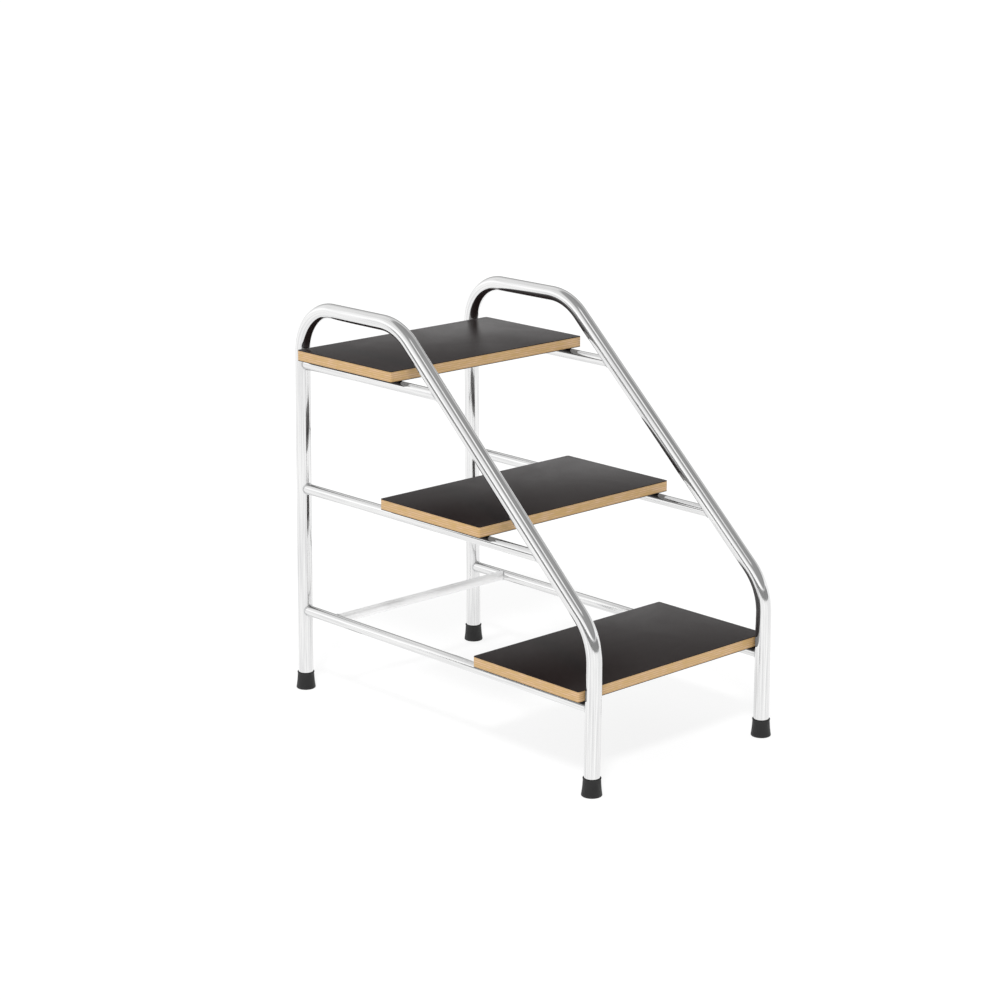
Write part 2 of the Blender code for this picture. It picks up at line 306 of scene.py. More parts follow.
# %% Laminate
laminate, laminate_tree, laminate_shader = new_material(
    "dark_laminate", Base_Color=(0.012, 0.0105, 0.0098, 1.0), Roughness=0.33, Specular_IOR_Level=0.15
)
laminate_place = add_node(laminate_tree, "TexCoord").outputs["Object"]
laminate_grain = use_group(
    laminate_tree, texture_group, {"Vector": laminate_place, "Scale": 1400.0, "Softness": 0.55}
)
laminate_marks = use_group(
    laminate_tree, marks_group, {"Vector": laminate_place, "Scale": 9.0, "Low": 0.31, "High": 0.36}
)
laminate_colour = add_node(
    laminate_tree, "MixRGB",
    {"Fac": laminate_grain.outputs["Height"], "Color1": (0.0088, 0.0043, 0.0038, 1.0),
     "Color2": (0.0120, 0.0064, 0.0058, 1.0)},
)
laminate_bump = add_node(
    laminate_tree, "Bump",
    {"Height": laminate_grain.outputs["Height"], "Strength": 0.5, "Distance": 0.00006},
)
set_inputs(
    laminate_tree, laminate_shader,
    {"Base Color": laminate_colour.outputs["Color"], "Roughness": laminate_marks.outputs["Value"],
     "Normal": laminate_bump.outputs["Normal"]},
)
print("laminate:", len(laminate_tree.nodes), "nodes")

# %% [markdown]
# ## Varnished plywood edge
#
# The edge of the board shows the veneers from the side, one on top of another. Every second one is cut
# across its fibres and looks darker and busier, and a thin glue line lies between them. The veneers have
# to stay level with the board, so each core's mesh carries its own height within the board.

# %% Plywood
VENEERS = 11

plywood, plywood_tree, plywood_shader = new_material(
    "varnished_plywood", Base_Color=(0.55, 0.37, 0.2, 1.0), Roughness=0.42, Coat_Weight=0.25,
    Coat_Roughness=0.25,
)
plywood_place = add_node(plywood_tree, "TexCoord").outputs["Object"]
plywood_level = add_node(plywood_tree, "Attribute", attribute_name="board_level").outputs["Fac"]
veneer_count = add_node(
    plywood_tree, "Math", {0: plywood_level, 1: float(VENEERS)}, operation="MULTIPLY"
)
veneer_phase = add_node(plywood_tree, "Math", {0: veneer_count.outputs[0]}, operation="FRACT")
veneer_from_middle = add_node(
    plywood_tree, "Math", {0: veneer_phase.outputs[0], 1: 0.5}, operation="SUBTRACT"
)
veneer_edge = add_node(plywood_tree, "Math", {0: veneer_from_middle.outputs[0]}, operation="ABSOLUTE")
glue_line = add_node(
    plywood_tree, "MapRange",
    {"Value": veneer_edge.outputs[0], "From Min": 0.42, "From Max": 0.5, "To Min": 0.0, "To Max": 1.0},
)
veneer_pair = add_node(
    plywood_tree, "Math", {0: veneer_count.outputs[0], 1: 0.5}, operation="MULTIPLY"
)
veneer_turn = add_node(plywood_tree, "Math", {0: veneer_pair.outputs[0]}, operation="FRACT")
cross_veneer = add_node(
    plywood_tree, "Math", {0: veneer_turn.outputs[0], 1: 0.5}, operation="GREATER_THAN"
)
plywood_fibres = use_group(
    plywood_tree, lines_group,
    {"Vector": plywood_place, "Across": 1100.0, "Stretch": (0.03, 0.03, 1.0)},
)
plywood_patches = use_group(
    plywood_tree, lines_group,
    {"Vector": plywood_place, "Across": 130.0, "Stretch": (0.4, 0.4, 1.6)},
)
plywood_mottle = add_node(
    plywood_tree, "MapRange",
    {"Value": plywood_patches.outputs["Height"], "From Min": 0.36, "From Max": 0.64},
)
plywood_light = add_node(
    plywood_tree, "MixRGB",
    {"Fac": plywood_mottle.outputs["Result"], "Color1": (0.54, 0.345, 0.105, 1.0),
     "Color2": (0.65, 0.43, 0.26, 1.0)},
)
plywood_cross = add_node(
    plywood_tree, "MixRGB",
    {"Fac": cross_veneer.outputs[0], "Color1": plywood_light.outputs["Color"],
     "Color2": (0.50, 0.31, 0.13, 1.0)},
)
plywood_fibre = add_node(
    plywood_tree, "MixRGB",
    {"Fac": plywood_fibres.outputs["Height"], "Color1": grey(0.68),
     "Color2": (1.25, 1.22, 1.18, 1.0)},
)
plywood_grained = add_node(
    plywood_tree, "MixRGB",
    {"Fac": 0.55, "Color1": plywood_cross.outputs["Color"], "Color2": plywood_fibre.outputs["Color"]},
    blend_type="MULTIPLY",
)
plywood_glue = add_node(
    plywood_tree, "Math", {0: glue_line.outputs["Result"], 1: 0.25}, operation="MULTIPLY"
)
plywood_colour = add_node(
    plywood_tree, "MixRGB",
    {"Fac": plywood_glue.outputs[0], "Color1": plywood_grained.outputs["Color"],
     "Color2": (0.26, 0.14, 0.06, 1.0)},
)
plywood_bump = add_node(
    plywood_tree, "Bump",
    {"Height": plywood_fibres.outputs["Height"], "Strength": 0.3, "Distance": 0.0001},
)
# Painted reflection: in the reflections of other pieces the edge shows without its colour, painted a flat
# grey in its place.
plywood_painted_reflection = add_node(
    plywood_tree, "MixRGB",
    {"Fac": add_node(plywood_tree, "LightPath").outputs["Is Glossy Ray"],
     "Color1": plywood_colour.outputs["Color"], "Color2": (0.22, 0.215, 0.21, 1.0)},
)
set_inputs(
    plywood_tree, plywood_shader,
    {"Base Color": plywood_painted_reflection.outputs["Color"], "Normal": plywood_bump.outputs["Normal"]},
)
print("plywood:", VENEERS, "veneers and", len(plywood_tree.nodes), "nodes")

# %% [markdown]
# ## Rubber and zinc
#
# The feet are moulded rubber with carbon black in it: dull, a very dark grey rather than black, finely
# textured, and dusty in patches. The screws and the discs in the feet are zinc plated, which is greyer and
# duller than the tubes.

# %% Rubber
rubber, rubber_tree, rubber_shader = new_material(
    "black_rubber", Base_Color=grey(0.012), Roughness=0.55, Specular_IOR_Level=0.42
)
rubber_place = add_node(rubber_tree, "TexCoord").outputs["Object"]
rubber_grain = use_group(
    rubber_tree, texture_group, {"Vector": rubber_place, "Scale": 1800.0, "Softness": 0.6}
)
rubber_marks = use_group(
    rubber_tree, marks_group, {"Vector": rubber_place, "Scale": 70.0, "Low": 0.46, "High": 0.66}
)
rubber_dust = add_node(
    rubber_tree, "MixRGB",
    {"Fac": rubber_marks.outputs["Mask"], "Color1": grey(0.006), "Color2": grey(0.015)},
)
rubber_bump = add_node(
    rubber_tree, "Bump",
    {"Height": rubber_grain.outputs["Height"], "Strength": 0.5, "Distance": 0.0001},
)
set_inputs(
    rubber_tree, rubber_shader,
    {"Base Color": rubber_dust.outputs["Color"], "Roughness": rubber_marks.outputs["Value"],
     "Normal": rubber_bump.outputs["Normal"]},
)
print("rubber:", len(rubber_tree.nodes), "nodes")

# %% Zinc
zinc, zinc_tree, zinc_shader = new_material(
    "zinc_plate", Base_Color=(0.56, 0.56, 0.54, 1.0), Metallic=1.0, Roughness=0.34
)
zinc_place = add_node(zinc_tree, "TexCoord").outputs["Object"]
zinc_grain = use_group(
    zinc_tree, texture_group, {"Vector": zinc_place, "Scale": 1600.0, "Softness": 0.5}
)
zinc_marks = use_group(
    zinc_tree, marks_group, {"Vector": zinc_place, "Scale": 220.0, "Low": 0.28, "High": 0.44}
)
zinc_bump = add_node(
    zinc_tree, "Bump", {"Height": zinc_grain.outputs["Height"], "Strength": 0.4, "Distance": 0.00005}
)
set_inputs(
    zinc_tree, zinc_shader,
    {"Roughness": zinc_marks.outputs["Value"], "Normal": zinc_bump.outputs["Normal"]},
)
finishes = (steel, dull_steel, weld_steel, laminate, plywood, rubber, zinc)
print("materials:", sorted(finish.name for finish in finishes))

# %% [markdown]
# ## Sizes read from the frame
#
# A rail's box gives its radius and its height, and the side tube's box gives the leg axes and the height of
# the grab bow. Only the bend radii and the lean of the side frames are written here, because a box can't
# tell them.

# %% Sizes
SIDES = {"left": -1, "right": 1}
TREADS = ("lower", "middle", "upper")
LEAN = 0.0092  # each side frame leans in by this much for each metre of height
REAR_BEND_RADIUS = 0.077
BOW_BEND_RADIUS = 0.098
KNEE_BEND_RADIUS = 0.096
KNEE_ABOVE_TREAD = 0.083
GRAB_RUN = 0.238
TUBE_RADIUS = 0.0125
TUBE_WALL = 0.0015

side_low, side_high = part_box("right_side_tube")
front_leg_y = side_low.y + TUBE_RADIUS
rear_leg_y = side_high.y - TUBE_RADIUS
tube_end_height = side_low.z
bow_height = side_high.z - TUBE_RADIUS
foot_x = side_high.x - TUBE_RADIUS + LEAN * tube_end_height
knee_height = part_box("lower_tread_surface")[1].z + KNEE_ABOVE_TREAD
handrail_start_y = rear_leg_y - GRAB_RUN
handrail_rise = bow_height - knee_height
handrail_run = handrail_start_y - front_leg_y


def rail_axis_height(tread):
    low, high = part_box(f"left_{tread}_rail")
    return (low.z + high.z) / 2


rail_radius = (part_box("left_middle_rail")[1].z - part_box("left_middle_rail")[0].z) / 2
cross_low, cross_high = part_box("cross_tube")
cross_radius = (cross_high.z - cross_low.z) / 2
cross_y = (cross_high.y + cross_low.y) / 2
print("legs at", round(front_leg_y, 4), round(rear_leg_y, 4), "feet at", round(foot_x, 4))
print("radii:", TUBE_RADIUS, round(rail_radius, 4), round(cross_radius, 4))

# %% [markdown]
# ## From a mesh to a piece
#
# Every piece goes through the same last steps: smooth shading with sharp edges where the surface turns, a
# material, the body that it rides on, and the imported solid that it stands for.

# %% Finishing a piece
SHARP_ANGLE = 35
pieces = []


def mesh_from(name, bm):
    """A mesh with a bmesh's shape. The bmesh itself is freed."""
    mesh = bpy.data.meshes.new(name)
    bm.to_mesh(mesh)
    bm.free()
    return mesh


def make_piece(name, bm, material, stands_for=()):
    """Turn a bmesh into a finished object that rides on the stool's one body."""
    mesh = mesh_from(name, bm)
    mesh.materials.append(material)
    mesh.shade_smooth()
    mesh.set_sharp_from_angle(angle=math.radians(SHARP_ANGLE))
    piece = new_object(name, mesh)
    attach(piece, "root")
    if stands_for:
        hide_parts(*stands_for)
    pieces.append(piece)
    return piece


def give_wall(bm, thickness):
    """Give an open skin its wall, inside the skin, so that the sharp rims are part of the mesh."""
    bmesh.ops.recalc_face_normals(bm, faces=bm.faces)
    bmesh.ops.solidify(bm, geom=list(bm.faces), thickness=thickness)


def verts_of(result):
    return [item for item in result if isinstance(item, bmesh.types.BMVert)]


def edges_of(result):
    return [item for item in result if isinstance(item, bmesh.types.BMEdge)]


def lean(bm, side):
    """Move a shape from the plane X = 0 to its side frame, keeping level faces level."""
    shear = Matrix.Identity(4)
    shear[0][2] = -SIDES[side] * LEAN
    shear[0][3] = SIDES[side] * foot_x
    bmesh.ops.transform(bm, matrix=shear, verts=bm.verts)


def carve(bm, cutter):
    """Cut one bmesh out of another, and return the result as a bmesh."""
    body = new_object("body", mesh_from("body", bm))
    tool = new_object("cutter", mesh_from("cutter", cutter))
    boolean = body.modifiers.new("cut", "BOOLEAN")
    boolean.operation = "DIFFERENCE"
    boolean.object = tool
    boolean.use_self = True
    bpy.context.view_layer.update()
    carved = bmesh.new()
    carved.from_object(body, bpy.context.evaluated_depsgraph_get())
    for helper in (body, tool):
        bpy.data.objects.remove(helper, do_unlink=True)
    return carved


print("edges sharper than", SHARP_ANGLE, "degrees stay sharp")

# %% [markdown]
# ## Side tubes
#
# On the real stool each side is one length of tube, pushed through a bender three times. The same is done
# here: a circle is extruded along each straight run and spun round the centre of each bend. The rings are
# a few degrees apart in the bends, and every ring records how far along the tube it is.

# %% A bent tube
TUBE_SEGMENTS = 56
RING_ANGLE = 3.5  # degrees of bend between two rings
FEWEST_RINGS = 4  # in one bend
ACROSS = Vector((1, 0, 0))


def mark_ring(verts, layer, centre, heading, along):
    """Record where a ring's points lie, as if the tube were straight."""
    upward = ACROSS.cross(heading)
    for vert in verts:
        arm = vert.co - centre
        vert[layer] = (arm.dot(ACROSS), arm.dot(upward), along)


def bent_tube(start, corners, end, radius):
    """Open skin of a tube in the plane X = 0. Each corner is (y, z, bend radius)."""
    bm = bmesh.new()
    layer = bm.verts.layers.float_vector.new("tube_place")
    here = Vector((0, *start))
    stops = [Vector((0, y, z)) for y, z, _ in corners] + [Vector((0, *end))]
    ring = bmesh.ops.create_circle(
        bm, cap_ends=False, radius=radius, segments=TUBE_SEGMENTS, matrix=Matrix.Translation(here)
    )["verts"]
    mark_ring(ring, layer, here, (stops[0] - here).normalized(), 0.0)
    edges = list(bm.edges)
    along = 0.0
    for (_, _, bend), corner, following in zip(corners, stops, stops[1:]):
        heading = (corner - here).normalized()
        next_heading = (following - corner).normalized()
        angle = heading.angle(next_heading)
        setback = bend * math.tan(angle / 2)
        bend_start = corner - heading * setback
        pulled = bmesh.ops.extrude_edge_only(bm, edges=edges)["geom"]
        bmesh.ops.translate(bm, vec=bend_start - here, verts=verts_of(pulled))
        along += (bend_start - here).length
        mark_ring(verts_of(pulled), layer, bend_start, heading, along)
        edges = edges_of(pulled)
        pivot = bend_start + Matrix.Rotation(math.pi / 2, 3, "X") @ heading * bend
        steps = max(FEWEST_RINGS, round(math.degrees(angle) / RING_ANGLE))
        for step in range(1, steps + 1):
            last = bmesh.ops.spin(
                bm, geom=edges, cent=pivot, axis=ACROSS, angle=angle / steps, steps=1
            )["geom_last"]
            turn = Matrix.Rotation(angle * step / steps, 3, "X")
            along += bend * angle / steps
            mark_ring(verts_of(last), layer, pivot + turn @ (bend_start - pivot), turn @ heading, along)
            edges = edges_of(last)
        here = corner + next_heading * setback
    pulled = bmesh.ops.extrude_edge_only(bm, edges=edges)["geom"]
    bmesh.ops.translate(bm, vec=stops[-1] - here, verts=verts_of(pulled))
    along += (stops[-1] - here).length
    mark_ring(verts_of(pulled), layer, stops[-1], (stops[-1] - here).normalized(), along)
    give_wall(bm, TUBE_WALL)
    return bm, along


print("a ring of", TUBE_SEGMENTS, "points every", RING_ANGLE, "degrees of bend")

# %% The two side tubes
for side in SIDES:
    skin, length = bent_tube(
        (rear_leg_y, tube_end_height),
        [(rear_leg_y, bow_height, REAR_BEND_RADIUS),
         (handrail_start_y, bow_height, BOW_BEND_RADIUS),
         (front_leg_y, knee_height, KNEE_BEND_RADIUS)],
        (front_leg_y, tube_end_height),
        TUBE_RADIUS,
    )
    lean(skin, side)
    make_piece(f"{side}_bent_tube", skin, steel, [f"{side}_side_tube"])
    print(side, "tube is", round(length, 3), "m long, with", len(pieces[-1].data.polygons), "faces")

# %% [markdown]
# ## Rails and cross tube
#
# A rail's end is coped: filed to a saddle that fits the tube that it is welded to. The saddle is worked out
# point by point. A point of the rail at a distance x from the middle plane meets a tube of radius R where
# the tube's surface is the square root of R squared less x squared from the tube's own axis. The handrail
# slopes, so its saddle is slanted as well.

# %% Coped rails
RAIL_SEGMENTS = 44
EMBED = 0.0002  # the saddle sinks into the tube by this much, under the weld
ACCESS_RADIUS = 0.0045
HOLE_SEGMENTS = 32


def saddle(x, z, axis_point, direction, toward, radius):
    """Where a line along Y at (x, z) meets a tube. toward is +1 for its rear side, -1 for its front."""
    depth = math.sqrt(max(0.0, (radius - EMBED) ** 2 - x**2))
    return axis_point[0] + ((z - axis_point[1]) * direction[0] + toward * depth) / direction[1]


def front_tube(height):
    """Axis point and direction, as (y, z), of the handrail or of the front leg at this height."""
    if height <= knee_height:
        return (front_leg_y, height), (0.0, 1.0)
    length = math.hypot(handrail_run, handrail_rise)
    y = front_leg_y + (height - knee_height) * handrail_run / handrail_rise
    return (y, height), (handrail_run / length, handrail_rise / length)


def rear_tube(height):
    return (rear_leg_y, height), (0.0, 1.0)


def straight_tube(ends, height, radius, segments):
    """Tube along Y. ends gives, for each end, a function of (x, z) that says where it stops."""
    bm = bmesh.new()
    upright = Matrix.Translation((0, 0, height)) @ Matrix.Rotation(-math.pi / 2, 4, "X")
    near = bmesh.ops.create_circle(bm, cap_ends=False, radius=radius, segments=segments, matrix=upright)
    pulled = bmesh.ops.extrude_edge_only(bm, edges=list(bm.edges))["geom"]
    for verts, stop in ((near["verts"], ends[0]), (verts_of(pulled), ends[1])):
        for vert in verts:
            vert.co.y = stop(vert.co.x, vert.co.z)
    give_wall(bm, TUBE_WALL)
    return bm


def mark_straight(bm, height):
    """Record where each point of a tube along Y lies, as a bent tube's rings do."""
    layer = bm.verts.layers.float_vector.new("tube_place")
    for vert in bm.verts:
        vert[layer] = (vert.co.x, vert.co.z - height, vert.co.y)


def access_drills(side, tread, height):
    """A drill under each of a rail's two screws, up to the middle of the rail."""
    drills = bmesh.new()
    for end in ("front", "rear"):
        low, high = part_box(f"{tread}_{end}_{side}_screw")
        place = Matrix.Translation((0, (low.y + high.y) / 2, height - rail_radius))
        bmesh.ops.create_cone(
            drills, cap_ends=True, segments=HOLE_SEGMENTS, radius1=ACCESS_RADIUS, radius2=ACCESS_RADIUS,
            depth=2 * rail_radius, matrix=place,
        )
    return drills


for side in SIDES:
    for tread in TREADS:
        height = rail_axis_height(tread)
        front_axis, rear_axis = front_tube(height), rear_tube(height)
        rail = straight_tube(
            [lambda x, z: saddle(x, z, *front_axis, 1, TUBE_RADIUS),
             lambda x, z: saddle(x, z, *rear_axis, -1, TUBE_RADIUS)],
            height, rail_radius, RAIL_SEGMENTS,
        )
        rail = carve(rail, access_drills(side, tread, height))
        mark_straight(rail, height)
        lean(rail, side)
        make_piece(f"{side}_{tread}_tread_rail", rail, steel, [f"{side}_{tread}_rail"])
print("rails:", 2 * len(TREADS))

# %% Cross tube
cross_height = rail_axis_height("lower")
cross_reach = foot_x - LEAN * cross_height
sideways = Matrix.Translation((0, cross_y, 0)) @ Matrix.Rotation(-math.pi / 2, 4, "Z")


def cross_end(sign):
    return lambda x, z: saddle(z - cross_height, 0, (sign * cross_reach, 0), (0.0, 1.0), -sign, rail_radius)


cross_skin = straight_tube([cross_end(-1), cross_end(1)], cross_height, cross_radius, RAIL_SEGMENTS)
mark_straight(cross_skin, cross_height)
bmesh.ops.transform(cross_skin, matrix=sideways, verts=cross_skin.verts)
make_piece("tie_tube", cross_skin, dull_steel, ["cross_tube"])
print("cross tube reaches", round(2 * cross_reach, 3), "m, from rail axis to rail axis")

# %% [markdown]
# ## Welds
#
# A torch leaves a bead round each joint, a row of overlapping scales a few millimetres apart. A bead is a
# small circle spun once round the rail, then pushed along the rail until it lies in the corner between the
# two tubes. The scales swell and shrink the circle as it goes round, and so does the welder's hand, slower.

# %% A weld bead
BEAD_RADIUS = 0.0012
BEAD_STEPS = 96
BEAD_SIDES = 10
SCALES = 24
SCALE_DEPTH = 0.10  # as a share of the bead's radius
HAND_SWELLS = 5
HAND_DEPTH = 0.5 * SCALE_DEPTH


def weld_bead(height, radius, stop):
    """Bead round a tube along Y. stop(x, z) says where the tube's end meets the other tube."""
    bm = bmesh.new()
    ring = bmesh.ops.create_circle(
        bm, cap_ends=False, radius=BEAD_RADIUS, segments=BEAD_SIDES,
        matrix=Matrix.Translation((radius, 0, 0)),
    )
    bmesh.ops.spin(
        bm, geom=ring["verts"] + list(bm.edges), cent=(0, 0, 0), axis=(0, 1, 0), angle=2 * math.pi,
        steps=BEAD_STEPS, use_merge=True,
    )
    for vert in bm.verts:
        turn = math.atan2(vert.co.z, vert.co.x)
        middle = Vector((radius * math.cos(turn), 0, radius * math.sin(turn)))
        scales = SCALE_DEPTH * abs(math.sin(turn * SCALES / 2))
        swell = 1 + scales + HAND_DEPTH * math.sin(HAND_SWELLS * turn)
        vert.co = middle + (vert.co - middle) * swell
        vert.co.y += stop(middle.x, middle.z + height)
        vert.co.z += height
    bmesh.ops.recalc_face_normals(bm, faces=bm.faces)
    return bm


print("one bead has", BEAD_STEPS * BEAD_SIDES, "faces and", SCALES, "scales")

# %% Beads at the rail ends
for side in SIDES:
    for tread in TREADS:
        height = rail_axis_height(tread)
        for end, axis, toward in (("front", front_tube(height), 1), ("rear", rear_tube(height), -1)):
            bead = weld_bead(
                height, rail_radius, lambda x, z: saddle(x, z, *axis, toward, TUBE_RADIUS)
            )
            lean(bead, side)
            make_piece(f"{side}_{tread}_{end}_weld", bead, weld_steel)
print("welds on the side tubes:", sum(piece.name.endswith("_weld") for piece in pieces))

# %% Beads at the cross tube's ends
for side, sign in SIDES.items():
    bead = weld_bead(cross_height, cross_radius, cross_end(sign))
    bmesh.ops.transform(bead, matrix=sideways, verts=bead.verts)
    make_piece(f"{side}_cross_weld", bead, weld_steel)
print("welds:", sum(piece.name.endswith("_weld") for piece in pieces))

# %% [markdown]
# ## Treads
#
# A tread is a plywood core with laminate on both faces. It is sawn to size after gluing, its upright corners
# are rounded, and the laminate's sharp edge is taken off with a file. Each layer starts from a cube that is
# stretched to the layer's size, and two bevels round it as a maker would.

# %% A board layer
CORNER_RADIUS = 0.003
CORNER_STEPS = 8
ARRIS = 0.0003  # how much of the laminate's rim the file takes off
ARRIS_STEPS = 3
SAME_HEIGHT = 1e-6


def board_layer(tread, low, high, arris_heights):
    """One level layer of a tread. arris_heights lists the faces, low or high, whose rim is softened."""
    base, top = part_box(f"{tread}_tread_underside")[0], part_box(f"{tread}_tread_surface")[1]
    bm = bmesh.new()
    size = Matrix.Diagonal((top.x - base.x, top.y - base.y, high - low, 1))
    place = Matrix.Translation(((top.x + base.x) / 2, (top.y + base.y) / 2, (low + high) / 2))
    bmesh.ops.create_cube(bm, size=1.0, matrix=place @ size)
    uprights = [e for e in bm.edges if abs(e.verts[0].co.z - e.verts[1].co.z) > (high - low) / 2]
    bmesh.ops.bevel(
        bm, geom=uprights, offset=CORNER_RADIUS, offset_type="OFFSET", segments=CORNER_STEPS,
        profile=0.5, affect="EDGES", material=-1,
    )
    for level in arris_heights:
        rim = [e for e in bm.edges if all(abs(v.co.z - level) < SAME_HEIGHT for v in e.verts)]
        bmesh.ops.bevel(
            bm, geom=rim, offset=ARRIS, offset_type="OFFSET", segments=ARRIS_STEPS, profile=0.5,
            affect="EDGES", material=-1,
        )
    layer = bm.verts.layers.float.new("board_level")
    for vert in bm.verts:
        vert[layer] = (vert.co.z - base.z) / (top.z - base.z)
    return bm


print("corners of", 1000 * CORNER_RADIUS, "mm, and rims softened by", 1000 * ARRIS, "mm")

# %% The three treads
for tread in TREADS:
    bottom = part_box(f"{tread}_tread_underside")[0].z
    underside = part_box(f"{tread}_tread_underside")[1].z
    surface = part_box(f"{tread}_tread_surface")[0].z
    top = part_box(f"{tread}_tread_surface")[1].z
    make_piece(f"{tread}_balance_sheet", board_layer(tread, bottom, underside, [bottom]), laminate,
               [f"{tread}_tread_underside"])
    make_piece(f"{tread}_plywood_core", board_layer(tread, underside, surface, []), plywood,
               [f"{tread}_tread_core"])
    make_piece(f"{tread}_tread_laminate", board_layer(tread, surface, top, [top]), laminate,
               [f"{tread}_tread_surface"])
    print(tread, "tread is", round(1000 * (top - bottom), 1), "mm thick")

# %% [markdown]
# ## Wood screws
#
# Only the heads show, through the access holes under the rails. Each is a pan head with a cross recess, so
# it is a turned shape with a cross-shaped plug cut out of it. The thread is turned as a row of ridges,
# which is what a thread looks like from the side.

# %% Screw profile
SCREW_SEGMENTS = 32
SHANK_RADIUS = 0.0020
HEAD_RADIUS = 0.0040
HEAD_HEIGHT = 0.0026
CROWN_RADIUS = 0.0014
TIP_LENGTH = 3 * SHANK_RADIUS
THREAD_START = 0.45  # as a share of the screw's length
THREAD_PITCH = 0.0016
THREAD_DEPTH = 0.0005
JOIN_DISTANCE = 1e-6  # points nearer than this are joined


def turned(outline, segments):
    """Solid of revolution about Z from an outline of (radius, height) points."""
    bm = bmesh.new()
    verts = [bm.verts.new((radius, 0, height)) for radius, height in outline]
    edges = [bm.edges.new(pair) for pair in zip(verts, verts[1:])]
    bmesh.ops.spin(
        bm, geom=verts + edges, cent=(0, 0, 0), axis=(0, 0, 1), angle=2 * math.pi, steps=segments,
        use_merge=True,
    )
    bmesh.ops.remove_doubles(bm, verts=bm.verts, dist=JOIN_DISTANCE)
    bmesh.ops.recalc_face_normals(bm, faces=bm.faces)
    return bm


def arc(centre, radius, first, last, steps):
    """Points of an arc, with its angles in degrees."""
    angles = [math.radians(first + (last - first) * i / steps) for i in range(steps + 1)]
    return [(centre[0] + radius * math.cos(a), centre[1] + radius * math.sin(a)) for a in angles]


def screw_outline(length):
    """Head down: the crown is at height 0 and the tip at the top."""
    outline = [(0, 0), (HEAD_RADIUS - CROWN_RADIUS, 0)]
    outline += arc((HEAD_RADIUS - CROWN_RADIUS, CROWN_RADIUS), CROWN_RADIUS, -75, 0, 6)
    outline += [(HEAD_RADIUS, HEAD_HEIGHT), (SHANK_RADIUS, HEAD_HEIGHT)]
    tip = length - TIP_LENGTH
    height = length * THREAD_START
    while height + THREAD_PITCH < tip:
        outline += [(SHANK_RADIUS - THREAD_DEPTH, height), (SHANK_RADIUS, height + THREAD_PITCH / 2)]
        height += THREAD_PITCH
    return outline + [(SHANK_RADIUS - THREAD_DEPTH, tip), (0, length)]


print("a screw's head is", 2000 * HEAD_RADIUS, "mm across")

# %% Cross recess and the twelve screws
RECESS_WIDTH = 0.0011
RECESS_REACH = 0.0046
RECESS_DEPTH = 0.0014
RECESS_TAPER = 0.55
SCREW_TURN = 0.7  # radians; every screw stops at an angle of its own


def recess_plug():
    """Cross-shaped plug, tapering upwards into the head."""
    bm = bmesh.new()
    size = Matrix.Diagonal((RECESS_REACH, RECESS_WIDTH, 2 * RECESS_DEPTH, 1))
    for turn in (0, math.pi / 2):
        bar = Matrix.Rotation(turn, 4, "Z") @ size
        made = bmesh.ops.create_cube(bm, size=1.0, matrix=bar)["verts"]
        for vert in made:
            if vert.co.z > 0:
                vert.co.x *= RECESS_TAPER
                vert.co.y *= RECESS_TAPER
    return bm


def carved_screw(length):
    """One screw, with the recess cut from its head."""
    return carve(turned(screw_outline(length), SCREW_SEGMENTS), recess_plug())


screw_low, screw_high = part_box("lower_front_left_screw")
pattern = carved_screw(screw_high.z - screw_low.z)
for node in sorted(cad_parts):
    if not node.endswith("_screw"):
        continue
    low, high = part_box(node)
    screw = pattern.copy()
    head = Vector(((low.x + high.x) / 2, (low.y + high.y) / 2, low.z))
    turn = Matrix.Rotation(len(pieces) * SCREW_TURN, 4, "Z")
    bmesh.ops.transform(screw, matrix=Matrix.Translation(head) @ turn, verts=screw.verts)
    make_piece(node.replace("_screw", "_wood_screw"), screw, zinc, [node])
print("one screw has", len(pattern.faces), "faces")
pattern.free()

# %% [markdown]
# ## Rubber feet
#
# A foot is a cup that is pushed over the tube. It flares towards the floor, has a rolled lip at the top
# where the mould opened, and a ring recess in its sole that lets it grip. The outline is turned once round.

# %% Foot outline
FOOT_SEGMENTS = 72
LIP = 0.0009  # radius of the rolled lip
SOLE_EDGE = 0.0018  # radius of the sole's rounded edge
GRIP_RING = (0.35, 0.65)  # the recess in the sole, as shares of the sole's radius
GRIP_DEPTH = 0.001
GRIP_SLOPE = 0.0004
WAIST = 0.0004  # how far the flare is drawn in at half its height
FLARE_STEPS = 8


def foot_outline(sole_radius, height, socket, sole):
    """Half section of a foot, from the middle of its sole round to the bottom of its socket."""
    rim = socket + 2 * LIP
    inner, outer = (sole_radius * share for share in GRIP_RING)
    outline = [(0, 0), (inner, 0), (inner + GRIP_SLOPE, GRIP_DEPTH)]
    outline += [(outer - GRIP_SLOPE, GRIP_DEPTH), (outer, 0)]
    outline += arc((sole_radius - SOLE_EDGE, SOLE_EDGE), SOLE_EDGE, -90, 8, 8)
    flare_in = rim - 0.6 * LIP - sole_radius
    flare_up = height - 3.2 * LIP - SOLE_EDGE
    for i in range(1, FLARE_STEPS + 1):
        share = i / FLARE_STEPS
        waist = WAIST * math.sin(math.pi * share)
        outline.append((sole_radius + flare_in * share - waist, SOLE_EDGE + flare_up * share))
    outline += arc((rim - LIP, height - LIP), LIP, 0, 90, 6)
    outline += [(socket, height - 0.4 * LIP), (socket, sole), (0, sole)]
    return outline


print("a foot is turned from", FOOT_SEGMENTS, "steps")

# %% The four feet
SOCKET_GAP = 0.0001  # between a leg and its foot's socket
DISC_SEAT = 0.0003  # the rubber ends this far under the disc

